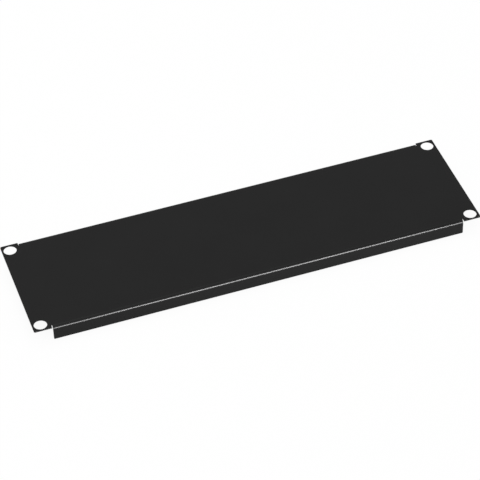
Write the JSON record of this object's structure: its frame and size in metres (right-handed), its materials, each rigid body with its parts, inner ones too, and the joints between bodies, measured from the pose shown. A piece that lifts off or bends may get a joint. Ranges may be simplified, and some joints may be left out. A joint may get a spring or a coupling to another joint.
{
  "type": "rack blanking panel",
  "caption": "Blanking panel for a 19-inch rack, one folded steel sheet with flanges along its long edges, flat ears and a round hole in each corner.",
  "frame": {"origin": "middle of the hole pattern, on the plane at the back of the ears that meets the rack", "axes": "+X along the panel, +Y up its height as mounted, +Z out of the front; at rest it lies face up on its flange edges"},
  "size_m": [0.4826, 0.1324, 0.017],
  "materials": {
    "black_powder_coat": "satin black powder coat with a fine grain"
  },
  "bodies": {
    "root": {"blanking_panel": "black_powder_coat"}
  },
  "joints": []
}
